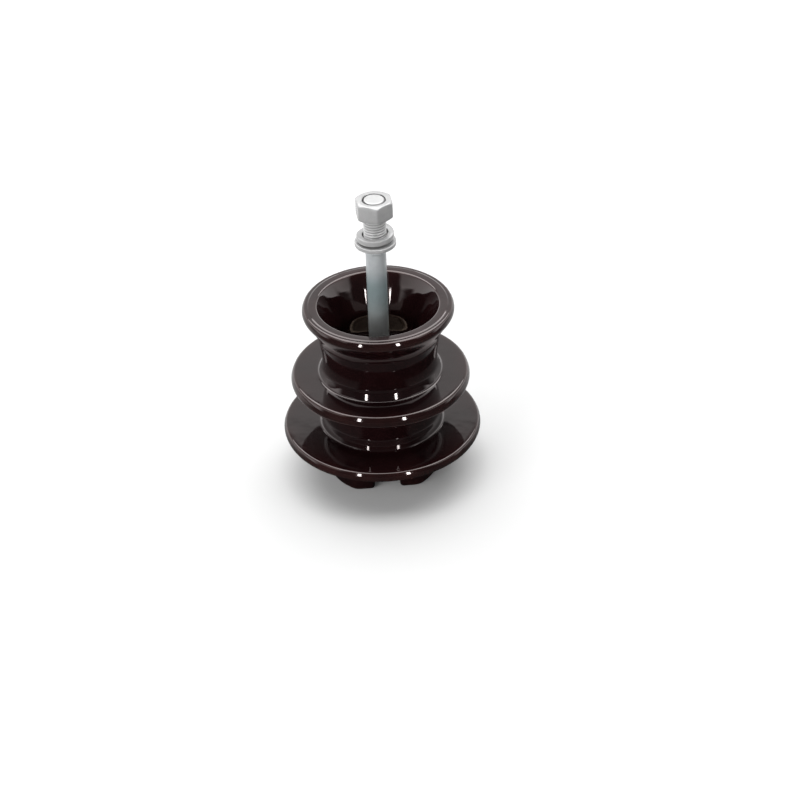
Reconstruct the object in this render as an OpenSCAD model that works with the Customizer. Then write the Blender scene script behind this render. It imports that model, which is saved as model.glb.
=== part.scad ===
// Porcelain pin insulator with a cemented steel pin, standing on its crown with the pin up.
// +Z runs along the pin, the conductor groove runs along Y, and z = 0 is the plane of the crown lands.

/* [Crown] */
// Radius of the crown
crown_r = 50; // [46:1:54]
// Distance from the axis to each flat end of the crown, along the conductor groove
crown_end_y = 41; // [40.5:0.5:44]
// Radius of the conductor groove
groove_r = 11.5; // [8:0.5:13]
// Height of the conductor groove's ceiling above the lands
groove_depth = 15; // [13:0.5:17]
// Height of the crown's head, up to the tie-wire neck
head_h = 17; // [15:0.5:18]
// Radius of the tie-wire neck
tie_r = 39.5; // [37:0.5:40]
// Height at which the tie-wire neck meets the large shed
tie_top_z = 31; // [29:0.5:32]

/* [Sheds] */
// Outer radius of the large shed
large_r = 89.2; // [85:0.1:95]
// Middle height of the large shed's rim
large_z = 46.5; // [45:0.5:48]
// Thickness of the large shed's rim
large_t = 9; // [8:0.5:11]
// Outer radius of the middle shed
middle_r = 80; // [76:0.5:84]
// Middle height of the middle shed's rim
middle_z = 98.3; // [96:0.1:100]
// Thickness of the middle shed's rim
middle_t = 11.2; // [10:0.2:12]
// Outer radius of the open petticoat's rim
petticoat_r = 67.2; // [65:0.2:70]
// Height of the petticoat's rim, the top of the porcelain
petticoat_z = 172.5; // [168:0.5:176]
// Radius of the body between the large and the middle shed
lower_neck_r = 53.9; // [52:0.1:56]
// Radius of the body between the middle shed and the petticoat
upper_neck_r = 51; // [50:0.5:53]

/* [Cup and socket] */
// Radius at the inner edge of the rim, where the cup begins
mouth_r = 54; // [53:0.2:55]
// Radius of the cup where its cone ends
cup_r = 38; // [37:0.5:39]
// Height at which the cup's cone ends
cup_z = 140; // [136:1:142]
// Height of the floor of the moat round the socket tube
moat_z = 94; // [90:1:98]
// Outer radius of the socket tube
tube_r = 30.5; // [29:0.5:31]
// Height of the unglazed end of the socket tube
tube_z = 112; // [108:1:114]
// Radius of the socket bore
bore_r = 22.5; // [20:0.5:24]
// Height of the closed end of the socket bore
bore_z = 48; // [46:1:52]
// Depth from the end of the tube to the face of the cement
cement_recess = 6; // [3:1:10]
// Thickness of the cushion disc under the pin's head
cushion_t = 4; // [2:0.5:5]

/* [Pin and fasteners] */
// Nominal thread diameter
thread_d = 20; // [19.8:0.1:20]
// Diameter of the plain shank
shank_d = 18; // [17:0.2:18.4]
// Diameter of the ribbed head that is held in the cement
head_d = 27; // [24:0.5:30]
// Height of the free end of the pin
pin_end_z = 276; // [276:0.5:280]
// Height of the seat on the stop lugs, where the washers rest
seat_z = 232.5; // [230:0.5:233]
// Outer diameter of the flat washer
washer_d = 36; // [33:0.5:37]
// Thickness of the flat washer
washer_t = 3.5; // [2.5:0.5:3.5]
// Side of the spring washer's square section
spring_t = 5; // [4.5:0.1:5]
// Rise from one end of the open spring washer to the other
spring_rise = 4.5; // [3:0.5:4.5]
// Nut size across flats
nut_af = 30; // [29.5:0.1:30]
// Nut height
nut_h = 16; // [15:0.5:16]
// Angle that turns a corner of the nut away from -Y
nut_turn = 4; // [0:1:59]

/* [Hidden] */

$fn = 128;
cut = 1;             // how far a cutting solid runs past the face it opens
arc_step = 15;       // degrees per segment where a corner of an outline is rounded

edge_r = 4.5;        // rounding of the crown's edges
neck_fillet = 2.5;   // fillet where a neck meets the upper face of a shed
mouth_edge = 4;      // rounding of the rim's inner edge
groove_flare = 3;    // rounding of the conductor groove's long edges
bore_corner = 8;     // rounding of the bore's closed end

cement_z = tube_z - cement_recess;
pin_foot_z = bore_z + cushion_t;
head_top_z = pin_foot_z + 24;
thread_r = thread_d / 2;
shank_r = shank_d / 2;
head_r = head_d / 2;
rib_count = 3;
rib_pitch = 7;
rib_depth = 2;

washer_bore_r = 11;
spring_in_r = 11.2;
spring_z = seat_z + washer_t + 0.1;
spring_top_z = spring_z + spring_t + spring_rise;
spring_gap = 12;     // degrees left open between the spring washer's ends
nut_z = pin_end_z - nut_h;
nut_bore_r = thread_r + 0.05;
chamfer = 1;         // chamfers of the thread end and of the nut's bore
lug_w = 8.5;         // width of a stop lug
lug_r = 12.5;        // reach of a stop lug from the axis
lug_h = 8;           // height of a stop lug with its slope
root_w = 0.8;        // width and depth of the thread roots drawn at the ends of the free thread
root_depth = 0.4;
free_z0 = spring_top_z + 0.9;
free_z1 = nut_z - 0.4;

function unit(v) = v / norm(v);

// An arc of radius f that rounds corner q, between its neighbours p and s.
function rounded_corner(p, q, s, f) =
    let (a = unit(p - q), b = unit(s - q), half = acos(a * b) / 2)
    let (c = q + unit(a + b) * f / sin(half), from = q + a * f / tan(half) - c, to = q + b * f / tan(half) - c)
    let (a0 = atan2(from.y, from.x), turn = atan2(from.x * to.y - from.y * to.x, from * to))
    let (n = ceil(abs(turn) / arc_step))
    [for (i = [0:n]) c + f * [cos(a0 + turn * i / n), sin(a0 + turn * i / n)]];

// Corners are [x, y, rounding radius]; a radius of 0 leaves the corner sharp.
function outline(corners) =
    let (n = len(corners), xy = [for (c = corners) [c.x, c.y]])
    [for (i = [0:n - 1])
        each corners[i].z > 0
            ? rounded_corner(xy[(i + n - 1) % n], xy[i], xy[(i + 1) % n], corners[i].z)
            : [xy[i]]];

module revolved(corners) {
    rotate_extrude() polygon(outline(corners));
}

// The rim of a shed: tight lower and upper edges, and between them a face that swells to the full radius.
function rim(r, z, t) =
    [[r - 0.2 * t, z - t / 2, 0.25 * t], [r + 0.05 * t, z - 0.1 * t, 0.6 * t], [r - 0.22 * t, z + t / 2, 0.25 * t]];

body_corners = concat(
    [[0, 0, 0], [crown_r, 0, edge_r], [crown_r, head_h, 4], [tie_r, head_h, 6], [tie_r, tie_top_z, 7]],
    rim(large_r, large_z, large_t),
    [[lower_neck_r + 1, large_z + 4.9, neck_fillet], [lower_neck_r, large_z + 10, 6],
     [lower_neck_r - 1.8, large_z + 15, 8], [lower_neck_r - 2, middle_z - 17, 8]],
    rim(middle_r, middle_z, middle_t),
    [[upper_neck_r + 3.8, middle_z + 5.8, neck_fillet], [upper_neck_r + 0.3, middle_z + 14, 14],
     [upper_neck_r, 123, 30], [upper_neck_r + 4, 148, 25]],
    rim(petticoat_r, petticoat_z - 4.7, 9.4),
    [[mouth_r, petticoat_z - 0.1, mouth_edge], [mouth_r - 5.8, petticoat_z - 10.4, 20],
     [cup_r, cup_z, 20], [cup_r - 1, moat_z, 3.5],
     [tube_r + 0.5, moat_z, 3.5], [tube_r, tube_z, 1.5], [bore_r, tube_z, 1.5],
     [bore_r, bore_z, bore_corner], [0, bore_z, 0]]);

module groove_section() {
    center_y = groove_depth - groove_r;
    translate([0, center_y]) circle(groove_r);
    translate([-groove_r, -cut]) square([2 * groove_r, center_y + cut]);
    difference() {
        translate([-groove_r - groove_flare, -cut])
            square([2 * (groove_r + groove_flare), groove_flare + cut]);
        for (side = [-1, 1])
            translate([side * (groove_r + groove_flare), groove_flare]) circle(groove_flare);
    }
}

module porcelain_body() {
    color([0.13, 0.05, 0.055])
    difference() {
        revolved(body_corners);
        translate([0, crown_r + cut, 0]) rotate([90, 0, 0])
            linear_extrude(2 * (crown_r + cut)) groove_section();
        for (side = [-1, 1])
            translate([0, side * (crown_end_y + crown_r / 2), (head_h + 5 - cut) / 2])
                cube([2 * crown_r, crown_r, head_h + 5 + cut], center = true);
    }
}

module cushion_disc() {
    color([0.55, 0.42, 0.28])
    translate([0, 0, bore_z]) cylinder(r = head_r, h = cushion_t);
}

module pin_solid() {
    ribs = [for (i = [0:rib_count - 1], p = [[0, 0], [1, 1.5], [1, 4], [0, 5.5]])
        [head_r - p.x * rib_depth, pin_foot_z + 2 + i * rib_pitch + p.y, 0]];
    revolved(concat(
        [[0, pin_foot_z, 0], [head_r, pin_foot_z, 0]],
        ribs,
        [[head_r, head_top_z, 0], [shank_r, head_top_z + 6, 4], [shank_r, seat_z, 0],
         [thread_r, seat_z + chamfer, 0],
         [thread_r, free_z0 - root_w, 0], [thread_r - root_depth, free_z0 - root_w, 0],
         [thread_r - root_depth, free_z0, 0], [thread_r, free_z0, 0],
         [thread_r, free_z1, 0], [thread_r - root_depth, free_z1, 0],
         [thread_r - root_depth, free_z1 + root_w, 0], [thread_r, free_z1 + root_w, 0],
         [thread_r, pin_end_z - chamfer, 0], [thread_r - chamfer, pin_end_z, 0], [0, pin_end_z, 0]]));
}

module stop_lugs() {
    intersection() {
        revolved([[0, seat_z - lug_h, 0], [shank_r, seat_z - lug_h, 0],
                  [lug_r, seat_z - lug_h / 2, 0], [lug_r, seat_z, 0], [0, seat_z, 0]]);
        translate([0, 0, seat_z - lug_h / 2]) cube([lug_w, 2 * lug_r + cut, lug_h + cut], center = true);
    }
}

module steel_pin() {
    color([0.62, 0.65, 0.66])
    union() {
        pin_solid();
        stop_lugs();
    }
}

module pin_cement() {
    color([0.52, 0.47, 0.4])
    difference() {
        revolved([[0, bore_z, 0], [bore_r, bore_z, bore_corner], [bore_r, cement_z, 0], [0, cement_z, 0]]);
        pin_solid();
        translate([0, 0, bore_z - cut]) cylinder(r = head_r, h = cushion_t + cut);
    }
}

module flat_washer() {
    color([0.72, 0.74, 0.74])
    translate([0, 0, seat_z])
    difference() {
        cylinder(d = washer_d, h = washer_t);
        translate([0, 0, -cut]) cylinder(r = washer_bore_r, h = washer_t + 2 * cut);
    }
}

// A split ring: its square section climbs by spring_rise over one turn, and its gap faces +Y.
module spring_washer() {
    steps = 60;
    section = [[0, 0], [spring_t, 0], [spring_t, spring_t], [0, spring_t]];
    points = [for (i = [0:steps], c = section)
        let (a = 90 + spring_gap / 2 + (360 - spring_gap) * i / steps)
        [(spring_in_r + c.x) * cos(a), (spring_in_r + c.x) * sin(a), spring_z + c.y + spring_rise * i / steps]];
    sides = [for (i = [0:steps - 1], k = [0:3])
        [4 * i + k, 4 * i + 4 + k, 4 * i + 4 + (k + 1) % 4, 4 * i + (k + 1) % 4]];
    ends = [[0, 1, 2, 3], [for (k = [3:-1:0]) 4 * steps + k]];
    color([0.66, 0.68, 0.68])
    polyhedron(points, concat(sides, ends));
}

module hex_nut() {
    face_r = nut_af / 2 - 0.4;
    corner_r = nut_af / 2 / cos(30);
    slope = (corner_r + cut - face_r) * tan(30);
    color([0.74, 0.76, 0.76])
    translate([0, 0, nut_z])
    difference() {
        intersection() {
            rotate(nut_turn - 90) cylinder(r = corner_r, h = nut_h, $fn = 6);
            revolved([[0, 0, 0], [face_r, 0, 0], [corner_r + cut, slope, 0],
                      [corner_r + cut, nut_h - slope, 0], [face_r, nut_h, 0], [0, nut_h, 0]]);
        }
        revolved([[0, -cut, 0], [nut_bore_r + chamfer, -cut, 0], [nut_bore_r + chamfer, 0, 0],
                  [nut_bore_r, chamfer, 0], [nut_bore_r, nut_h - chamfer, 0],
                  [nut_bore_r + chamfer, nut_h, 0], [nut_bore_r + chamfer, nut_h + cut, 0],
                  [0, nut_h + cut, 0]]);
    }
}

porcelain_body();
cushion_disc();
pin_cement();
steel_pin();
flat_washer();
spring_washer();
hex_nut();
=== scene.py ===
"""Porcelain pin insulator on its crown: glazed body, cemented steel pin with an M20 thread, washers, nut.

Shapes are worked out in millimetres and made in metres, in the frame of the CAD model: +Z along the pin,
the conductor groove along Y, and z = 0 at the crown's lands.
"""

import math

import bmesh
import bpy
import numpy as np
from mathutils import Matrix, Vector, noise

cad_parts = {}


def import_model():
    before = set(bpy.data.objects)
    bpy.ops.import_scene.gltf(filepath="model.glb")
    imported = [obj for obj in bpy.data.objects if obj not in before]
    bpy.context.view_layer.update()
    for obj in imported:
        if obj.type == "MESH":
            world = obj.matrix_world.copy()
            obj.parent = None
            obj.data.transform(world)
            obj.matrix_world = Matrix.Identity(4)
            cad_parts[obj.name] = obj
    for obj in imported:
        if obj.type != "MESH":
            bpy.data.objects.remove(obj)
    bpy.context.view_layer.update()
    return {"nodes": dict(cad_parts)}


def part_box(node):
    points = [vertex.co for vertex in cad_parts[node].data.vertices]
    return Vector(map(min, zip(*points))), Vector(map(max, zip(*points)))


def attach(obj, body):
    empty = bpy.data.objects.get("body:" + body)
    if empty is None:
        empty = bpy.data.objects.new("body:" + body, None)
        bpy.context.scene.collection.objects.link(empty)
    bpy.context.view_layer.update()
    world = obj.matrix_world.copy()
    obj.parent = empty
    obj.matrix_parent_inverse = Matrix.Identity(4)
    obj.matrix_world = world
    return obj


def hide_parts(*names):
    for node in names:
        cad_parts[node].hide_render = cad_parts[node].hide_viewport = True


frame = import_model()

MM = 0.001


def top(node):
    """Height of a CAD node's highest point, in millimetres."""
    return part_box(node)[1].z / MM


def bottom(node):
    """Height of a CAD node's lowest point, in millimetres."""
    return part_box(node)[0].z / MM


def reach(node):
    """How far a CAD node reaches from the axis along X, in millimetres."""
    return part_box(node)[1].x / MM


# ---------------------------------------------------------------- sizes, in millimetres

CROWN_R = 50.0  # the crown: a disc with two flat ends, cut by the conductor groove
CROWN_END = 41.0
CROWN_END_SOFT = 3.0
HEAD_H = 17.0
EDGE_R = 4.5
TIE_R = 39.5  # the neck above it, for the tie wire
TIE_TOP = 31.0
TIE_FILLET = 6.0
GROOVE_R = 11.5  # the conductor groove, flared along its edges and at its mouths
GROOVE_Z = 3.5
GROOVE_FLARE = 3.0
MOUTH_FLARE = 3.0
CROWN_STATIONS = 44  # even angles in each quarter of the crown, up to the groove

LARGE_R = reach("porcelain_body")  # the sheds, the necks between them and the petticoat
LARGE_Z = 46.5
LARGE_T = 9.0
MIDDLE_R = 80.0
MIDDLE_Z = 98.3
MIDDLE_T = 11.2
LOWER_NECK_R = 53.9
UPPER_NECK_R = 51.0
NECK_FILLET = 2.5
PETTICOAT_R = 67.2
PETTICOAT_Z = 172.5
PETTICOAT_T = 9.4
RIM_STEP = 0.4  # the moulded step on the petticoat's flat
RIM_STEP_R = 61.9

MOUTH_R = 54.0  # the cup, and the tube in it that holds the pin
MOUTH_EDGE = 2.2
CUP_R = 38.0
CUP_Z = 140.0
MOAT_Z = 94.0
MOAT_FILLET = 3.5
TUBE_R = 30.5
TUBE_Z = 112.0
TUBE_EDGE = 1.5
BORE_R = reach("pin_cement")
BORE_Z = bottom("cushion_disc")
BORE_CORNER = 8.0
CEMENT_Z = top("pin_cement")

WAVE_LENGTH = 45.0  # the slight wave of the fired surface
WAVE_HEIGHT = 0.16

PIN_FOOT = bottom("steel_pin")  # the pin
PIN_END = top("steel_pin")
PIN_BEVEL = 1.6
PIN_HEAD_R = reach("cushion_disc")
PIN_HEAD_TOP = PIN_FOOT + 24
RIB_PITCH = 7.0
RIB_GROOVE = [(0, 0), (2, 1.5), (2, 4), (0, 5.5)]  # (depth, height) corners of the groove between two ribs
SHANK_R = 9.0
SEAT_Z = bottom("flat_washer")
LUG_R = 12.5
LUG_HALF = 4.25
LUG_H = 8.0
LUG_EDGE = 0.25

THREAD_R = 10.0  # M20: 2.5 mm pitch
THREAD_PITCH = 2.5
THREAD_DEPTH = 1.32
THREAD_GAP = 0.1
THREAD_START = SEAT_Z + 1
THREAD_RUNOUT = 2 * THREAD_PITCH

NUT_LOW, NUT_HIGH = bottom("hex_nut"), top("hex_nut")
NUT_AF = 30.0
NUT_FACE_R = NUT_AF / 2 - 0.4
NUT_TURN = 4.0
WASHER_R = reach("flat_washer")
WASHER_BORE = 11.0
WASHER_T = top("flat_washer") - SEAT_Z
SPRING_IN = 11.2
SPRING_T = 5.0
SPRING_LOW = bottom("spring_washer")
SPRING_RISE = top("spring_washer") - SPRING_LOW - SPRING_T
SPRING_GAP = 12.0  # degrees


# ---------------------------------------------------------------- outlines

def unit(v):
    return v / np.linalg.norm(v)


def clamped(share):
    """The share, kept from 0 to 1."""
    return min(max(share, 0), 1)


def rounded_corner(before, corner, after, radius, step):
    """Points of the arc that rounds a corner, step degrees apart at most."""
    a, b = unit(before - corner), unit(after - corner)
    half = math.acos(a @ b) / 2
    centre = corner + unit(a + b) * radius / math.sin(half)
    start = corner + a * radius / math.tan(half) - centre
    end = corner + b * radius / math.tan(half) - centre
    first = math.atan2(start[1], start[0])
    turn = math.atan2(start[0] * end[1] - start[1] * end[0], start @ end)
    count = max(1, math.ceil(abs(math.degrees(turn)) / step))
    angles = first + turn * np.arange(count + 1) / count
    return [centre + radius * np.array([math.cos(t), math.sin(t)]) for t in angles]


def outline(corners, step, spacing=None):
    """Points of a closed outline with (x, y, rounding) corners, and long straights split to the spacing."""
    xy = [np.array(c[:2], float) for c in corners]
    count = len(corners)
    points = []
    for i, (_, _, radius) in enumerate(corners):
        if radius:
            points += rounded_corner(xy[i - 1], xy[i], xy[(i + 1) % count], radius, step)
        else:
            points.append(xy[i])
    return split(points, spacing) if spacing else points


def split(points, spacing):
    """The same open line with no stretch longer than the spacing."""
    result = [points[0]]
    for a, b in zip(points, points[1:]):
        pieces = math.ceil(np.linalg.norm(b - a) / spacing)
        result += [a + (b - a) * k / pieces for k in range(1, pieces + 1)]
    return result


def rim(radius, height, thickness):
    """The rim of a shed: tight lower and upper edges, and a face between them that swells outwards."""
    return [
        (radius - 0.2 * thickness, height - thickness / 2, 0.25 * thickness),
        (radius + 0.05 * thickness, height - 0.1 * thickness, 0.6 * thickness),
        (radius - 0.22 * thickness, height + thickness / 2, 0.25 * thickness),
    ]


# ---------------------------------------------------------------- meshes

def mesh_object(name, vertices, faces, sharp_angle=None):
    """A smooth-shaded object from points in millimetres, with edges over the angle kept sharp."""
    mesh = bpy.data.meshes.new(name)
    mesh.from_pydata([tuple(float(c) * MM for c in v) for v in vertices], [], faces)
    build = bmesh.new()
    build.from_mesh(mesh)
    bmesh.ops.remove_doubles(build, verts=build.verts, dist=1e-7)
    bmesh.ops.dissolve_degenerate(build, edges=build.edges, dist=1e-8)
    bmesh.ops.recalc_face_normals(build, faces=build.faces)
    build.to_mesh(mesh)
    build.free()
    mesh.shade_smooth()
    if sharp_angle:
        mesh.set_sharp_from_angle(angle=math.radians(sharp_angle))
    obj = bpy.data.objects.new(name, mesh)
    bpy.context.scene.collection.objects.link(obj)
    return obj


def grid_faces(rings, closed_rings=False):
    """Quads between rings of vertex indices; the last ring joins the first one if closed_rings."""
    faces = []
    pairs = list(zip(rings, rings[1:]))
    if closed_rings:
        pairs.append((rings[-1], rings[0]))
    for lower, upper in pairs:
        count = len(lower)
        for i in range(count):
            j = (i + 1) % count
            faces.append((lower[i], lower[j], upper[j], upper[i]))
    return faces


def lathe(name, points, segments, sharp_angle=None, shift=None):
    """A closed outline of (radius, height) points turned about the axis, each moved by shift(point)."""
    vertices, rings = [], []
    angles = 2 * math.pi * np.arange(segments) / segments
    for r, z in points:
        start = len(vertices)
        for t in angles:
            p = np.array([r * math.cos(t), r * math.sin(t), z])
            vertices.append(p + shift(p) if shift else p)
        rings.append(list(range(start, start + segments)))
    return mesh_object(name, vertices, grid_faces(rings, closed_rings=True), sharp_angle)


# ---------------------------------------------------------------- porcelain body

def body_outline():
    """The porcelain's half section, from the middle of the crown round to the closed end of the bore."""
    crown = [
        (0, 0, 0), (CROWN_R, 0, EDGE_R), (CROWN_R, HEAD_H, 4),
        (TIE_R, HEAD_H, TIE_FILLET), (TIE_R, TIE_TOP, 7),
    ]
    lower_neck = [
        (LOWER_NECK_R + 1, LARGE_Z + 4.9, NECK_FILLET), (LOWER_NECK_R, LARGE_Z + 10, 6),
        (LOWER_NECK_R - 1.8, LARGE_Z + 15, 8), (LOWER_NECK_R - 2, MIDDLE_Z - 17, 8),
    ]
    upper_neck = [
        (UPPER_NECK_R + 3.8, MIDDLE_Z + 5.8, NECK_FILLET), (UPPER_NECK_R + 0.3, MIDDLE_Z + 14, 14),
        (UPPER_NECK_R, 123, 30), (UPPER_NECK_R + 4, 148, 25),
    ]
    petticoat = [
        *rim(PETTICOAT_R, PETTICOAT_Z - PETTICOAT_T / 2 - RIM_STEP / 2, PETTICOAT_T - RIM_STEP),
        (RIM_STEP_R, PETTICOAT_Z - RIM_STEP, 0.7), (RIM_STEP_R - 1.1, PETTICOAT_Z, 0.7),
    ]
    cup = [
        (MOUTH_R, PETTICOAT_Z - 0.1, MOUTH_EDGE), (MOUTH_R - 5.8, PETTICOAT_Z - 10.4, 20),
        (CUP_R, CUP_Z, 20), (CUP_R - 1, MOAT_Z, MOAT_FILLET),
    ]
    tube = [
        (TUBE_R + 0.5, MOAT_Z, MOAT_FILLET), (TUBE_R, TUBE_Z, TUBE_EDGE), (BORE_R, TUBE_Z, TUBE_EDGE),
        (BORE_R, BORE_Z, BORE_CORNER), (0, BORE_Z, 0),
    ]
    large_shed = [*rim(LARGE_R, LARGE_Z, LARGE_T), *lower_neck]
    middle_shed = [*rim(MIDDLE_R, MIDDLE_Z, MIDDLE_T), *upper_neck]
    return outline([*crown, *large_shed, *middle_shed, *petticoat, *cup, *tube], step=9, spacing=3.2)


def groove_rows():
    """(x, height) points of half the conductor groove's section, from its flared edge to its middle."""
    flare = [
        (GROOVE_R + GROOVE_FLARE * (1 - math.cos(t)), GROOVE_FLARE * (1 - math.sin(t)))
        for t in np.radians(np.linspace(90, 20, 5))
    ]
    arch = [
        (GROOVE_R * math.cos(t), GROOVE_Z + GROOVE_R * math.sin(t))
        for t in np.radians(np.arange(10, 91, 10))
    ]
    return flare + [(GROOVE_R, GROOVE_Z - 0.3)] + arch


def crown_stations():
    """Angles round the axis and the groove's height at each: even ones, and one at each groove row."""
    rows = groove_rows()
    first_row = math.atan2(CROWN_END, rows[0][0])
    even = [(t, 0.0) for t in np.linspace(0, first_row, CROWN_STATIONS)[:-1]]
    quarter = even + [(math.atan2(CROWN_END, x), z) for x, z in rows]
    quarter[-1] = (math.pi / 2, quarter[-1][1])
    half = quarter + [(math.pi - t, z) for t, z in reversed(quarter[:-1])]
    whole = half + [(2 * math.pi - t, z) for t, z in reversed(half[1:-1])]
    return np.array([t for t, _ in whole]), np.array([z for _, z in whole])


def crown_edge(angle):
    """The point of the crown's plan outline at an angle: a circle, with softened flat ends."""
    flat = CROWN_END / max(abs(math.sin(angle)), 1e-3)
    blend = max(CROWN_END_SOFT - abs(CROWN_R - flat), 0) / CROWN_END_SOFT
    radius = min(CROWN_R, flat) - blend * blend * CROWN_END_SOFT / 4
    return radius * np.array([math.cos(angle), math.sin(angle)])


def crown_inward(angle):
    """The direction from the crown's plan outline into the crown, at right angles to the outline."""
    along = crown_edge(angle + 1e-4) - crown_edge(angle - 1e-4)
    return unit(np.array([-along[1], along[0]]))


def widened(xy, z, amount):
    """Spreads the groove's mouth sideways, by the amount at its walls and less away from them."""
    still_x = CROWN_R / 2.2
    x = abs(xy[0])
    share = x / GROOVE_R if x < GROOVE_R else max(0, 1 - (x - GROOVE_R) / (still_x - GROOVE_R))
    fade = max(0, 1 - (z / HEAD_H) ** 2)
    return np.array([xy[0] + math.copysign(amount * share * fade, xy[0]), xy[1]])


def crown_ring(r, z, angles, lifts, edges, inwards):
    """The crown's ring for one point of the half section: it follows the flat ends and the groove."""
    lower_half = z < HEAD_H / 2
    depth = min(1, (CROWN_R - r) / EDGE_R) if lower_half else 0
    mouth = MOUTH_FLARE * (1 - math.sqrt(1 - (1 - depth) ** 2))
    share = (r - TIE_R) / (CROWN_R - TIE_R)
    ring = []
    for angle, lift, edge, inward in zip(angles, lifts, edges, inwards):
        if lower_half:
            xy = edge + (CROWN_R - r) * inward
        else:
            radius = TIE_R + share * (np.linalg.norm(edge) - TIE_R)
            xy = radius * np.array([math.cos(angle), math.sin(angle)])
        if abs(xy[1]) > CROWN_END / 2:
            xy = widened(xy, z, mouth)
        ring.append(np.array([xy[0], xy[1], z + lift * max(0, 1 - z / HEAD_H)]))
    return ring


def cap_rows(ring, columns):
    """Rows of points along Y that close the crown's underside, from one side of its ring to the other."""
    count = len(ring)
    rows = []
    for i in range(1, count // 2):
        a, b = ring[i], ring[count - i]
        rows.append([a + (b - a) * k / columns for k in range(1, columns)])
    return rows


def close_crown(vertices, ring, columns):
    """Adds the crown's underside to the vertices and returns its faces."""
    count = len(ring)
    rows = [[ring[0]]]
    for i, inner in enumerate(cap_rows([vertices[k] for k in ring], columns), start=1):
        start = len(vertices)
        vertices += inner
        rows.append([ring[i], *range(start, start + len(inner)), ring[count - i]])
    rows.append([ring[count // 2]])
    faces = []
    for a, b in zip(rows, rows[1:]):
        if len(a) == 1:
            faces += [(a[0], b[k + 1], b[k]) for k in range(columns)]
        elif len(b) == 1:
            faces += [(b[0], a[k], a[k + 1]) for k in range(columns)]
        else:
            faces += [(a[k], a[k + 1], b[k + 1], b[k]) for k in range(columns)]
    return faces


def convexity(points):
    """How sharply the section bulges at each point, from 0 to 1: the glaze is thinnest there."""
    bend = np.zeros(len(points))
    for i in range(1, len(points) - 1):
        a, b = points[i] - points[i - 1], points[i + 1] - points[i]
        turn = math.atan2(a[0] * b[1] - a[1] * b[0], a @ b)
        bend[i] = turn / (np.linalg.norm(a) + np.linalg.norm(b)) * 2
    bend = np.clip(bend * EDGE_R, 0, 1)
    for _ in range(3):
        bend[1:-1] = (bend[:-2] + 2 * bend[1:-1] + bend[2:]) / 4
    return bend


def bareness(points):
    """Millimetres past the edge of the glaze, along the section: above 0 in the bore, from its lip on."""
    lip_z, lip_r = TUBE_Z - 0.6, BORE_R + 0.8
    steps = [np.linalg.norm(b - a) for a, b in zip(points, points[1:])]
    length = np.concatenate([[0], np.cumsum(steps)])
    end = next(i for i, p in enumerate(points) if p[1] > lip_z and p[0] < lip_r)
    return np.clip(length - length[end], -20, 20)


def unevenness(p):
    """The slight wave of a hand-finished, fired surface, in millimetres outwards."""
    outward = unit(np.array([p[0], p[1], 1e-6]))
    return outward * (noise.noise(Vector(p) / WAVE_LENGTH) * WAVE_HEIGHT)


def store_section_values(obj, points, values):
    """Writes values known along the half section as attributes of the turned mesh."""
    section = np.array(points)
    co = np.array([v.co for v in obj.data.vertices]) / MM
    spots = np.stack([np.hypot(co[:, 0], co[:, 1]), co[:, 2]], axis=1)
    nearest = np.empty(len(spots), int)
    batch = 4000
    for first in range(0, len(spots), batch):
        gaps = ((spots[first:first + batch, None] - section[None]) ** 2).sum(2)
        nearest[first:first + batch] = gaps.argmin(1)
    for name, along in values.items():
        layer = obj.data.attributes.new(name, "FLOAT", "POINT")
        layer.data.foreach_set("value", along[nearest].astype(np.float32))


def make_body():
    """The one-piece porcelain: crown, two sheds, open petticoat and the socket tube inside."""
    points = body_outline()[1:]
    angles, lifts = crown_stations()
    edges = [crown_edge(t) for t in angles]
    inwards = [crown_inward(t) for t in angles]
    round_from = HEAD_H + TIE_FILLET + 0.5
    vertices, rings = [], []
    for r, z in points:
        start = len(vertices)
        if z < round_from:
            vertices += crown_ring(r, z, angles, lifts, edges, inwards)
        else:
            vertices += [np.array([r * math.cos(t), r * math.sin(t), z]) for t in angles]
        rings.append(list(range(start, start + len(angles))))
    faces = grid_faces(rings) + close_crown(vertices, rings[0], columns=14)
    body = mesh_object("glazed_porcelain", [p + unevenness(p) for p in vertices], faces)
    store_section_values(body, points, {"crest": convexity(points), "bare": bareness(points)})
    return body


# ---------------------------------------------------------------- threads

THREAD_SHAPE = [  # (share of the pitch, share of the depth) of one turn, with soft zinc-filled corners
    (0.00, 0.94), (0.10, 1.00), (0.20, 0.94), (0.49, 0.12), (0.55, 0.02), (0.65, 0.02), (0.71, 0.12),
]


def thread_radius(z, angle):
    """Radius of the M20 thread's surface at a height and an angle."""
    phase = ((z - THREAD_START) / THREAD_PITCH - angle / (2 * math.pi)) % 1
    shares, depths = zip(*THREAD_SHAPE, (1.0, THREAD_SHAPE[0][1]))
    return THREAD_R - THREAD_DEPTH * np.interp(phase, shares, depths)


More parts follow.
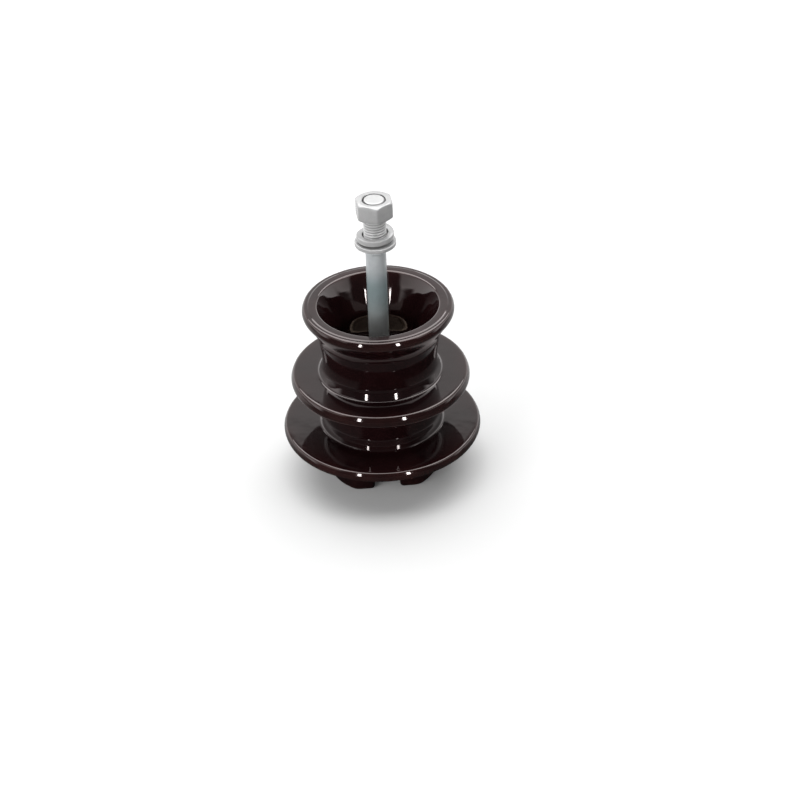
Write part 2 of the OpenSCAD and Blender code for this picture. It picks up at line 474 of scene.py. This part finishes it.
def threaded_form(name, before, after, z0, z1, radius, segments, closed):
    """A turned form whose stretch from z0 to z1 is a helical thread.

    before and after give the rings below and above the thread, as functions of the angle that return
    (radius, height) points. radius(z, angle) is the thread's surface. A closed form is a ring, as a nut
    is; an open one ends on the axis at both ends. The rings of the thread climb by one pitch in a turn,
    so the last column joins the first one a turn of rings further up.
    """
    turns = math.ceil((z1 - z0) / THREAD_PITCH) + 2
    steps = [(k + share) * THREAD_PITCH for k in range(-1, turns) for share, _ in THREAD_SHAPE]
    steps.insert(0, -math.inf)  # so that the thread's first ring lies at z0 all the way round
    vertices, columns = [], []
    for i in range(segments):
        angle = 2 * math.pi * i / segments
        rise = THREAD_PITCH * i / segments
        heights = [min(max(z0 + step + rise, z0), z1) for step in steps]
        points = [*before(angle), *[(radius(z, angle), z) for z in heights], *after(angle)]
        columns.append(list(range(len(vertices), len(vertices) + len(points))))
        vertices += [(r * math.cos(angle), r * math.sin(angle), z) for r, z in points]
    first = len(before(0))
    last = first + len(steps) - 1
    per_turn = len(THREAD_SHAPE)
    seam = [min(j + per_turn, last) if first < j < last else j for j in range(len(columns[0]))]
    columns.append([columns[0][j] for j in seam])
    faces = []
    for a, b in zip(columns, columns[1:]):
        faces += [(a[j], b[j], b[j + 1], a[j + 1]) for j in range(len(a) - 1)]
        if closed:
            faces.append((a[-1], b[-1], b[0], a[0]))
    return mesh_object(name, vertices, faces, sharp_angle=40)


# ---------------------------------------------------------------- pin and fasteners

def pin_head_corners():
    """The ribbed head that the cement holds, up to the shank."""
    ribs = [
        (PIN_HEAD_R - cut, PIN_FOOT + 2 + RIB_PITCH * i + up, 0)
        for i in range(3)
        for cut, up in RIB_GROOVE
    ]
    return [
        (0, PIN_FOOT, 0), (PIN_HEAD_R, PIN_FOOT, 0.8), *ribs,
        (PIN_HEAD_R, PIN_HEAD_TOP, 1), (SHANK_R, PIN_HEAD_TOP + 6, 4),
    ]


def lug_reach(angle, z):
    """How far the shank is pinched out at an angle and a height: two lugs, at +Y and -Y."""
    level = clamped((z - (SEAT_Z - LUG_H)) / (LUG_H / 2))
    out = (LUG_R - SHANK_R) * level
    side = abs(math.cos(angle)) * (SHANK_R + out)
    edge = clamped(LUG_HALF + 0.5 - side)
    return out * edge * edge * (3 - 2 * edge)


def make_pin():
    """The forged and galvanised pin: ribbed head, shank, stop lugs and a true helical thread."""
    head = outline([*pin_head_corners(), (SHANK_R, SEAT_Z, 0), (0, SEAT_Z, 0)], step=15)[:-2]
    shank = [(SHANK_R, z) for z in np.arange(PIN_HEAD_TOP + 12, SEAT_Z - LUG_H - 1, 6)]
    lug_heights = np.arange(SEAT_Z - LUG_H, SEAT_Z - 0.1, 0.5)

    def before(angle):
        lugs = [(SHANK_R + lug_reach(angle, z), z) for z in lug_heights]
        lug_top = SHANK_R + max(lug_reach(angle, SEAT_Z) - LUG_EDGE, 0)
        return [*head, *shank, *lugs, (lug_top, SEAT_Z), (SHANK_R, SEAT_Z + 0.02)]

    def surface(z, angle):
        share = clamped((z - THREAD_START) / THREAD_RUNOUT)
        bevel = THREAD_R - max(0, z - (PIN_END - PIN_BEVEL))
        return min(SHANK_R + (thread_radius(z, angle) - SHANK_R) * share, bevel)

    def after(_angle):
        rim_r = THREAD_R - PIN_BEVEL
        return [(rim_r - 0.3, PIN_END), (rim_r * 0.7, PIN_END), (rim_r * 0.4, PIN_END), (0, PIN_END)]

    return threaded_form(
        "galvanised_pin", before, after, THREAD_START, PIN_END - 0.1, surface, segments=96, closed=False
    )


def make_nut():
    """The hex nut: chamfered both ways, with softened corners and a thread in its bore."""
    sixth = math.pi / 3
    corner_r = NUT_AF / 2 / math.cos(sixth / 2) - 0.35
    slope = math.tan(math.radians(30))
    soft = 0.22

    def hex_radius(angle):
        local = (angle - math.radians(NUT_TURN - 90)) % sixth - sixth / 2
        return min(NUT_AF / 2 / math.cos(local), corner_r)

    def after(angle):
        side = hex_radius(angle)
        drop = max(side - NUT_FACE_R, 0.15) * slope
        half = [  # (radius, depth below the face), from the bore over the chamfer to the flat
            (THREAD_R + 0.9, 0), (NUT_FACE_R - 0.5, 0), (NUT_FACE_R, 0.06),
            (side - soft, drop - soft * slope), (side, drop + soft), (side, 4),
        ]
        upper = [(r, NUT_HIGH - depth) for r, depth in half]
        lower = [(r, NUT_LOW + depth) for r, depth in reversed(half)]
        return [*upper, (side, (NUT_LOW + NUT_HIGH) / 2), *lower]

    def surface(z, angle):
        countersink = THREAD_R + 0.7 - min(z - NUT_LOW, NUT_HIGH - z)
        return max(thread_radius(z, angle) + THREAD_GAP, countersink)

    return threaded_form(
        "galvanised_nut", lambda _angle: [], after, NUT_LOW, NUT_HIGH, surface, segments=144, closed=True
    )


def make_washer():
    """The stamped flat washer: rounded over on top, with a slight burr edge below."""
    z0, z1 = SEAT_Z, SEAT_Z + WASHER_T
    corners = [(WASHER_BORE, z0, 0.3), (WASHER_R, z0, 0.25), (WASHER_R, z1, 0.8), (WASHER_BORE, z1, 0.5)]
    return lathe("galvanised_flat_washer", outline(corners, step=18), segments=128, sharp_angle=60)


def make_spring_washer():
    """The split spring washer: a square section with soft edges on one climbing turn, its gap at +Y."""
    soft, steps, end_slant = 0.6, 120, math.radians(3)
    square = [(0, 0, soft), (SPRING_T, 0, soft), (SPRING_T, SPRING_T, soft), (0, SPRING_T, soft)]
    section = outline(square, step=22.5)
    vertices, rings = [], []
    for i in range(steps + 1):
        share = i / steps
        rise = SPRING_LOW + SPRING_RISE * share
        turn = math.radians(90 + SPRING_GAP / 2 + (360 - SPRING_GAP) * share)
        start = len(vertices)
        for x, y in section:
            angle = turn + end_slant * (y / SPRING_T - 0.5)
            radius = SPRING_IN + x
            vertices.append((radius * math.cos(angle), radius * math.sin(angle), rise + y))
        rings.append(list(range(start, start + len(section))))
    ends = [tuple(reversed(rings[0])), tuple(rings[-1])]
    return mesh_object("galvanised_spring_washer", vertices, grid_faces(rings) + ends, sharp_angle=50)


def make_cement():
    """The cement in the bore, with a rough trowelled face that climbs a little at the pin and the tube."""
    head = outline([*pin_head_corners(), (SHANK_R, CEMENT_Z, 0), (0, CEMENT_Z, 0)], step=30)[1:-1]
    face = [np.array([r, CEMENT_Z]) for r in np.linspace(BORE_R, SHANK_R, 24)]
    bore = outline([(PIN_HEAD_R, BORE_Z, 0), (BORE_R, BORE_Z, BORE_CORNER), (BORE_R, CEMENT_Z, 0)], step=15)

    def rough(p):
        if p[2] < CEMENT_Z - 0.01:
            return np.zeros(3)
        r = math.hypot(p[0], p[1])
        climb = 1.6 * math.exp(-(r - SHANK_R) / 1.5) + 1.2 * math.exp(-(BORE_R - r) / 1.3)
        grain = noise.fractal(Vector(p) / 3.2, 0.8, 2.1, 5) * 0.55 + noise.noise(Vector(p) / 9) * 0.9
        return np.array([0, 0, climb + grain - 0.9])

    return lathe("cement_fill", [*bore, *face[1:-1], *reversed(head)], segments=160, shift=rough)


# ---------------------------------------------------------------- materials

# Sockets of a Mix node that mixes colours, by number, since its A and B come once for each kind of value.
MIX_SHARE, MIX_A, MIX_B, MIX_RESULT = 0, 6, 7, 2


def node_adder(tree):
    """A function that adds a node to a tree: inputs are sockets to link from, or plain values."""
    def add(kind, inputs=None, **settings):
        node = tree.nodes.new(kind)
        for key, value in settings.items():
            setattr(node, key, value)
        for key, value in (inputs or {}).items():
            if isinstance(value, bpy.types.NodeSocket):
                tree.links.new(value, node.inputs[key])
            else:
                node.inputs[key].default_value = value
        return node

    return add


def node_material(name):
    """A material with a Principled shader, and functions that add nodes and wire them to the shader."""
    material = bpy.data.materials.new(name)
    material.use_nodes = True
    tree = material.node_tree
    shader = next(n for n in tree.nodes if n.type == "BSDF_PRINCIPLED")

    def wire(source, key):
        tree.links.new(source, shader.inputs[key])

    return material, shader, node_adder(tree), wire


def object_coordinates(add):
    return add("ShaderNodeTexCoord").outputs["Object"]


def grey(value):
    return (value, value, value)


def ramp(add, source, stops):
    """A colour ramp over the source with (position, colour) stops that ease into each other."""
    node = add("ShaderNodeValToRGB", {"Fac": source})
    node.color_ramp.interpolation = "EASE"
    while len(node.color_ramp.elements) < len(stops):
        node.color_ramp.elements.new(0.5)
    for element, (position, colour) in zip(node.color_ramp.elements, stops):
        element.position = position
        element.color = (*colour, 1)
    return node.outputs["Color"]


def fine_noise(add, place, scale, detail, roughness=0.5, distortion=0.0):
    inputs = {
        "Vector": place, "Scale": scale, "Detail": detail, "Roughness": roughness, "Distortion": distortion,
    }
    return add("ShaderNodeTexNoise", inputs).outputs["Fac"]


def cell_distance(add, place, scale):
    """Distance to the middle of the nearest Voronoi cell, in cells."""
    return add("ShaderNodeTexVoronoi", {"Vector": place, "Scale": scale}).outputs["Distance"]


def with_alpha(colour):
    """A plain colour with its alpha; a socket stays as it is."""
    return colour if isinstance(colour, bpy.types.NodeSocket) else (*colour, 1)


def mixed(add, share, a, b):
    """Colour a where share is 0, and b where it is 1."""
    inputs = {MIX_SHARE: share, MIX_A: with_alpha(a), MIX_B: with_alpha(b)}
    return add("ShaderNodeMix", inputs, data_type="RGBA").outputs[MIX_RESULT]


def multiplied(add, a, b):
    """Two colours, one darkened by the other."""
    inputs = {MIX_SHARE: 1.0, MIX_A: a, MIX_B: b}
    return add("ShaderNodeMix", inputs, data_type="RGBA", blend_type="MULTIPLY").outputs[MIX_RESULT]


def math_node(add, operation, a, b, clamp=False):
    return add("ShaderNodeMath", {0: a, 1: b}, operation=operation, use_clamp=clamp).outputs[0]


def scaled(add, value, factor, offset):
    """value * factor + offset."""
    return add("ShaderNodeMath", {0: value, 1: factor, 2: offset}, operation="MULTIPLY_ADD").outputs[0]


def bump(add, height, strength, distance, normal=None):
    inputs = {"Height": height, "Strength": strength, "Distance": distance}
    if normal is not None:
        inputs["Normal"] = normal
    return add("ShaderNodeBump", inputs).outputs["Normal"]


def glaze_colour(add, place):
    """Dark brown, thinner and redder on the crests."""
    crest = add("ShaderNodeAttribute", attribute_name="crest").outputs["Fac"]
    cloud = fine_noise(add, place, 28, 4, 0.6, 0.4)
    deep = ramp(add, cloud, [(0.3, (0.003, 0.0011, 0.0013)), (0.7, (0.006, 0.0019, 0.0021))])
    thin = ramp(add, cloud, [(0.3, (0.0065, 0.0023, 0.0021)), (0.7, (0.012, 0.004, 0.0035))])
    streaks = scaled(add, fine_noise(add, place, 160, 2), 0.9, 0.5)
    return mixed(add, math_node(add, "MULTIPLY", crest, streaks, clamp=True), deep, thin)


def bare_share(add, place):
    """1 where the porcelain is bare, past the ragged edge of the glaze, and 0 where it is glazed."""
    past_edge = add("ShaderNodeAttribute", attribute_name="bare").outputs["Fac"]
    ragged = scaled(add, fine_noise(add, place, 420, 3, 0.6), 2.4, 0.5)
    edge = scaled(add, math_node(add, "ADD", past_edge, ragged), 0.8, 0.5)
    return ramp(add, edge, [(0.5, grey(0)), (0.62, grey(1))])


def biscuit_colour(add, place):
    """Bare fired porcelain: cream, with rare dark specks."""
    cloud = fine_noise(add, place, 90, 4, 0.6)
    cream = ramp(add, cloud, [(0.3, (0.40, 0.32, 0.24)), (0.7, (0.54, 0.46, 0.37))])
    specks = ramp(add, cell_distance(add, place, 520), [(0.10, grey(1)), (0.17, grey(0))])
    rare = ramp(add, fine_noise(add, place, 260, 2), [(0.5, grey(0)), (0.56, grey(1))])
    return mixed(add, math_node(add, "MULTIPLY", specks, rare), cream, (0.05, 0.03, 0.02))


def glaze_material():
    """Brown glaze with a wavy mirror finish, and matt, porous bare porcelain where it ends."""
    material, shader, add, wire = node_material("brown_glaze")
    place = object_coordinates(add)
    is_bare = bare_share(add, place)
    wire(mixed(add, is_bare, glaze_colour(add, place), biscuit_colour(add, place)), "Base Color")
    gloss = ramp(add, fine_noise(add, place, 40, 5, 0.65), [(0.35, grey(0.045)), (0.75, grey(0.085))])
    wire(mixed(add, is_bare, gloss, grey(0.75)), "Roughness")
    waves = bump(add, fine_noise(add, place, 55, 2, 0.4), 0.22, 0.0006)
    pores = math_node(add, "MULTIPLY", fine_noise(add, place, 900, 3, 0.6), is_bare)
    wire(bump(add, pores, 0.5, 0.0004, waves), "Normal")
    shader.inputs["IOR"].default_value = 1.54
    shader.inputs["Specular Tint"].default_value = (1.0, 0.9, 0.885, 1)
    return material


def by_height(add, parts, stops):
    """Values by height, from (mm, value) stops that ease into each other."""
    share = math_node(add, "MULTIPLY", parts["Z"], 1 / (PIN_END * MM))
    return ramp(add, share, [(z / PIN_END, value) for z, value in stops])


def inside(add, parts, full_r, none_r):
    """1 up to the first radius in mm, and 0 from the second one out."""
    level = add("ShaderNodeCombineXYZ", {"X": parts["X"], "Y": parts["Y"]}).outputs[0]
    radius = add("ShaderNodeVectorMath", {0: level}, operation="LENGTH").outputs["Value"]
    share = math_node(add, "MULTIPLY", radius, 1 / (LARGE_R * MM))
    return ramp(add, share, [(full_r / LARGE_R, grey(1)), (none_r / LARGE_R, grey(0))])


def zinc_material(name, tones, roughness, shade_radii, painted_shade):
    """Hot-dip zinc, faintly cloudy, with tones and painted shade by height. The painted shade lies inside
    the given radii.
    """
    material, shader, add, wire = node_material(name)
    place = object_coordinates(add)
    parts = add("ShaderNodeSeparateXYZ", {"Vector": place}).outputs
    cloud = fine_noise(add, place, 110, 4, 0.55, 0.5)
    clouded = ramp(add, cloud, [(0.3, grey(0.9)), (0.7, grey(1))])
    worn = multiplied(add, by_height(add, parts, tones), clouded)
    # Painted shade: near-black grey(0.02) inside the shade radii, as strong as the height stops say.
    shade_share = math_node(add, "MULTIPLY", inside(add, parts, *shade_radii), by_height(add, parts, painted_shade))
    wire(mixed(add, shade_share, worn, grey(0.02)), "Base Color")
    fine = fine_noise(add, place, 600, 3)
    wire(ramp(add, fine, [(0.3, grey(roughness - 0.02)), (0.75, grey(roughness + 0.03))]), "Roughness")
    wire(bump(add, cloud, 0.07, 0.0005), "Normal")
    shader.inputs["Metallic"].default_value = 0.25
    return material


def pin_zinc():
    """The pin's zinc: dull in the cup, bluish above it, pale at the washers and on the thread, with painted
    shade in the thread's roots and on the end bevel.
    """
    dull, bluish, pale = (0.175, 0.181, 0.179), (0.15, 0.186, 0.191), (0.33, 0.343, 0.352)
    # The bevel tone, grey(0.06), is painted shade: a dark ring round the pin's end.
    thread, bevel, end_face = grey(0.41), grey(0.06), grey(0.29)
    thread_end = PIN_END - PIN_BEVEL - 0.1
    bevel_start = PIN_END - PIN_BEVEL + 0.1
    tones = [
        (CEMENT_Z, dull), (SEAT_Z - 82, dull), (SEAT_Z - 42, bluish), (SEAT_Z - 14, pale),
        (SEAT_Z, (0.34, 0.353, 0.362)), (SEAT_Z + 4, thread), (thread_end, thread),
        (bevel_start, bevel), (PIN_END - 0.15, bevel), (PIN_END - 0.05, end_face),
    ]
    # Painted shade in the thread's roots, from just above the washers up to the end bevel.
    root_shade = [
        (SEAT_Z + 2, grey(0)), (SEAT_Z + 4, grey(0.5)), (thread_end, grey(0.5)), (bevel_start, grey(0)),
    ]
    return zinc_material("galvanised_pin", tones, 0.3, (SHANK_R, SHANK_R + 0.7), root_shade)


def fastener_zinc(name, shade_radii):
    """The nut's and the washers' zinc: one tone, with painted shade that darkens the bore."""
    even_tone = [(0, grey(0.265)), (PIN_END, grey(0.265))]
    bore_shade = [(0, grey(1)), (PIN_END, grey(1))]
    return zinc_material(name, even_tone, 0.22, shade_radii, bore_shade)


def cement_material():
    """Set Portland cement: grey-brown, gritty, with dark pores."""
    material, shader, add, wire = node_material("cement")
    place = object_coordinates(add)
    tones = [(0.3, (0.08, 0.063, 0.046)), (0.55, (0.15, 0.125, 0.095)), (0.75, (0.26, 0.23, 0.19))]
    patches = ramp(add, fine_noise(add, place, 90, 6, 0.68), tones)
    pores = ramp(add, cell_distance(add, place, 900), [(0.1, grey(1)), (0.2, grey(0))])
    wire(mixed(add, math_node(add, "MULTIPLY", pores, 0.6), patches, (0.07, 0.055, 0.04)), "Base Color")
    shader.inputs["Roughness"].default_value = 0.92
    wire(bump(add, fine_noise(add, place, 700, 4, 0.7), 0.8, 0.0006), "Normal")
    return material


def felt_material():
    """The cushion under the pin's head: brown felt."""
    material, shader, add, wire = node_material("cushion_felt")
    fibres = fine_noise(add, object_coordinates(add), 1500, 6, 0.7, 1.5)
    wire(ramp(add, fibres, [(0.3, (0.16, 0.10, 0.06)), (0.7, (0.36, 0.25, 0.16))]), "Base Color")
    shader.inputs["Roughness"].default_value = 0.95
    shader.inputs["Sheen Weight"].default_value = 0.3
    wire(bump(add, fibres, 0.6, 0.0004), "Normal")
    return material


def floor_material():
    """A plain, pale studio floor that fades to white far off.

    What the glaze mirrors of it is darker, and darkest in front of the insulator.
    """
    material, shader, add, wire = node_material("studio_floor")
    place = object_coordinates(add)
    depth = add("ShaderNodeSeparateXYZ", {"Vector": place}).outputs["Y"]
    mirrored = ramp(add, math_node(add, "ADD", depth, 0.5), [(0.45, grey(0.03)), (0.7, grey(0.3))])
    rays = add("ShaderNodeLightPath").outputs
    wire(mixed(add, rays["Is Glossy Ray"], grey(0.39), mirrored), "Base Color")
    distance = add("ShaderNodeVectorMath", {0: place}, operation="LENGTH").outputs["Value"]
    far = ramp(add, math_node(add, "MULTIPLY", distance, 0.4), [(0.4, grey(0)), (0.8, grey(1))])
    wire(math_node(add, "MULTIPLY", far, rays["Is Camera Ray"]), "Emission Strength")
    shader.inputs["Emission Color"].default_value = (1, 1, 1, 1)
    shader.inputs["Roughness"].default_value = 0.9
    shader.inputs["Specular IOR Level"].default_value = 0.1
    return material


# ---------------------------------------------------------------- camera, floor and light

OBJECT_TURN = 4.3  # degrees by which the camera and the lights are turned from the conductor groove
CAMERA_PLACE = (0.01657, -1.71047, 1.24113)  # metres, before that turn
CAMERA_PITCH = 34.43  # degrees
CAMERA_ROLL = -1.93
CAMERA_LENS = 103.68  # millimetres
CAMERA_SENSOR = 36
STRIP_X, STRIP_Y, STRIP_Z = 0.97, -1.98, 0.55  # metres, before the turn
FLOOR_HALF = 30.0
WALL_RADIANCE = 2.0


def make_camera():
    """A long lens that looks down at the insulator from the front, as a product photographer's does."""
    camera = bpy.data.objects.new("camera", bpy.data.cameras.new("camera"))
    bpy.context.scene.collection.objects.link(camera)
    camera.data.sensor_width = CAMERA_SENSOR
    camera.data.lens = CAMERA_LENS
    turn = Matrix.Rotation(math.radians(-OBJECT_TURN), 4, "Z")
    tilt = Matrix.Rotation(math.radians(90 - CAMERA_PITCH), 4, "X")
    roll = Matrix.Rotation(math.radians(CAMERA_ROLL), 4, "Z")
    camera.matrix_world = turn @ Matrix.Translation(Vector(CAMERA_PLACE)) @ tilt @ roll
    bpy.context.scene.camera = camera


def make_floor():
    corners = [(x * FLOOR_HALF, y * FLOOR_HALF, 0) for x, y in ((-1, -1), (1, -1), (1, 1), (-1, 1))]
    mesh = bpy.data.meshes.new("floor")
    mesh.from_pydata(corners, [], [(0, 1, 2, 3)])
    floor = bpy.data.objects.new("floor", mesh)
    bpy.context.scene.collection.objects.link(floor)
    mesh.materials.append(floor_material())


def panel(name, place, width, height, radiance, facing):
    """A glowing rectangle, with its place and direction as the camera's side sees them.

    x is to the right and y is away from the camera, both level.
    """
    data = bpy.data.lights.new(name, "AREA")
    data.shape = "RECTANGLE"
    data.size, data.size_y = width, height
    data.energy = radiance * width * height * math.pi
    light = bpy.data.objects.new(name, data)
    bpy.context.scene.collection.objects.link(light)
    turn = Matrix.Rotation(math.radians(-OBJECT_TURN), 3, "Z")
    light.location = turn @ Vector(place)
    light.rotation_mode = "QUATERNION"
    light.rotation_quaternion = (turn @ Vector(facing)).to_track_quat("-Z", "Y")
    return light


def make_lights():
    """Four panels: one overhead, two upright strips and a fill.

    The overhead panel reaches far behind the insulator, and the strips stand in front of it on the left
    and right. The fill shines from the front left, and nothing mirrors it.
    """
    panel("overhead", (0, 0.65, 1.7), 2.6, 2.5, radiance=5.5, facing=(0, 0, -1))
    for name, x in (("left_strip", -STRIP_X), ("right_strip", STRIP_X)):
        panel(name, (x, STRIP_Y, STRIP_Z), 0.14, 0.58, radiance=50, facing=(-x, -STRIP_Y, 0))
    fill = panel("front_fill", (-1.6, -1.7, 1.0), 1.6, 1.2, radiance=10, facing=(1.6, 1.7, -0.9))
    fill.visible_glossy = False


def make_world():
    """White studio walls behind and at the sides, a dim ceiling, and a dim space behind the camera.

    Low down at the sides, in front, the walls are dark. The camera itself sees plain white all round.
    """
    world = bpy.data.worlds.new("studio")
    bpy.context.scene.world = world
    world.use_nodes = True
    tree = world.node_tree
    background = next(n for n in tree.nodes if n.type == "BACKGROUND")
    background.inputs["Strength"].default_value = WALL_RADIANCE
    add = node_adder(tree)
    direction = add("ShaderNodeTexCoord").outputs["Generated"]
    parts = add("ShaderNodeSeparateXYZ", {"Vector": direction}).outputs
    wall = ramp(add, parts["Z"], [
        (0.0, grey(1.0)), (0.25, grey(0.9)), (0.42, grey(0.62)), (0.57, grey(0.5)), (0.61, grey(0.1)),
    ])
    depth = math_node(add, "ADD", parts["Y"], 1.0)
    is_room = ramp(add, depth, [(0.36, grey(0)), (0.46, grey(1))])
    is_side = ramp(add, depth, [(0.75, grey(1)), (0.95, grey(0))])
    is_low = ramp(add, parts["Z"], [(0.20, grey(1)), (0.27, grey(0))])
    blocked = math_node(add, "MULTIPLY", is_side, is_low)
    walls = mixed(add, is_room, grey(0.03), mixed(add, blocked, wall, grey(0.05)))
    camera_ray = add("ShaderNodeLightPath").outputs["Is Camera Ray"]
    tree.links.new(mixed(add, camera_ray, walls, grey(1 / WALL_RADIANCE)), background.inputs["Color"])


# ---------------------------------------------------------------- the scene

def dress(piece, body, slot, material, *nodes):
    """Gives a piece its material, lets it ride on its body and stand for its CAD nodes."""
    piece.data.materials.clear()
    piece.data.materials.append(material)
    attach(piece, body)
    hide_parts(*nodes)


make_camera()
make_floor()
make_world()
make_lights()

# The radii mark the nut's threaded bore and the washers' bores, where painted shade darkens the zinc.
nut_zinc = fastener_zinc("zinc_nut", (THREAD_R + THREAD_GAP, THREAD_R + THREAD_GAP + 0.15))
washer_zinc = fastener_zinc("zinc_washers", (SPRING_IN + 0.02, SPRING_IN + 0.2))
dress(make_body(), "insulator", "brown_glaze", glaze_material(), "porcelain_body")
dress(make_cement(), "insulator", "cement", cement_material(), "pin_cement")
dress(make_pin(), "insulator", "galvanised_pin", pin_zinc(), "steel_pin")
dress(make_washer(), "washer", "zinc_fasteners", washer_zinc, "flat_washer")
dress(make_spring_washer(), "spring_ring", "zinc_fasteners", washer_zinc, "spring_washer")
dress(make_nut(), "nut", "zinc_fasteners", nut_zinc, "hex_nut")

cushion = frame["nodes"]["cushion_disc"]
cushion.data.materials.clear()
cushion.data.materials.append(felt_material())

bpy.context.scene.view_settings.view_transform = "Standard"
